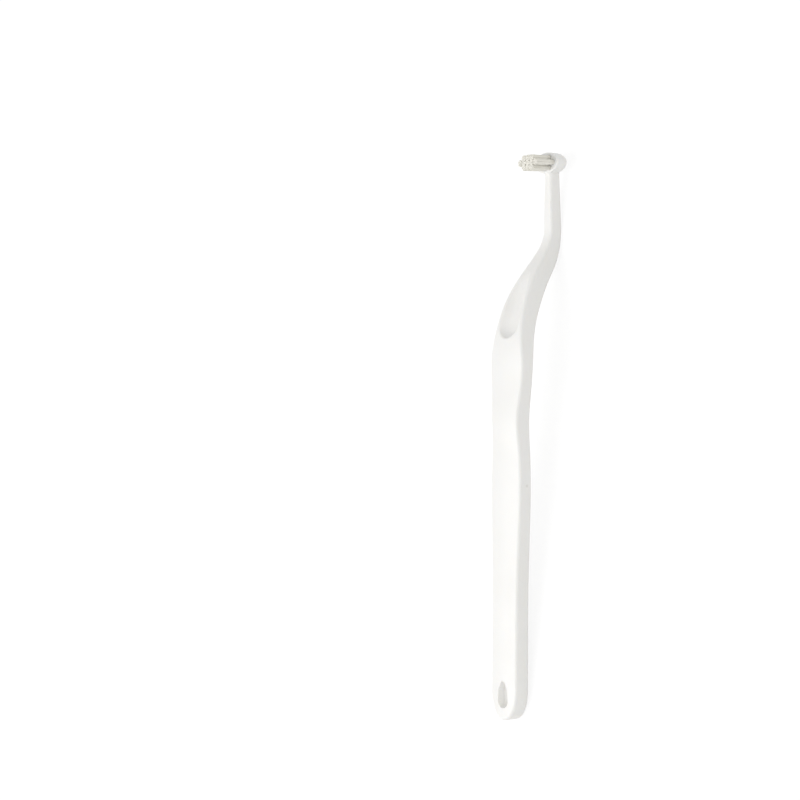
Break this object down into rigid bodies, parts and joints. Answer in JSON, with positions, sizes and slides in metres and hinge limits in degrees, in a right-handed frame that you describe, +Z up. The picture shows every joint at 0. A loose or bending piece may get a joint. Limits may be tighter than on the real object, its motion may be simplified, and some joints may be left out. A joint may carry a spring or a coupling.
{
  "type": "pet toothbrush",
  "caption": "Slim white pet toothbrush with an S-bent neck, a small oval head set across the handle, short bristle tufts, a thumb scoop and a blind dimple in the tail.",
  "frame": {"origin": "on the table, under the middle of the brush's bounding box", "axes": "+X along the brush towards the head, +Y across the brush, +Z up, the way the bristles point as the brush lies on its back"},
  "size_m": [0.1662, 0.0148, 0.0161],
  "materials": {
    "handle": "white moulded plastic with a soft sheen",
    "bristles": "cream nylon filaments, slightly translucent",
    "staples": "drawn flat wire"
  },
  "bodies": {
    "root": {"handle": "handle", "tuft_01": "bristles", "tuft_02": "bristles", "tuft_03": "bristles", "tuft_04": "bristles", "tuft_05": "bristles", "tuft_06": "bristles", "tuft_07": "bristles", "tuft_08": "bristles", "tuft_09": "bristles", "tuft_10": "bristles", "tuft_11": "bristles", "staple_01": "staples", "staple_02": "staples", "staple_03": "staples", "staple_04": "staples", "staple_05": "staples", "staple_06": "staples", "staple_07": "staples", "staple_08": "staples", "staple_09": "staples", "staple_10": "staples", "staple_11": "staples"}
  },
  "joints": []
}
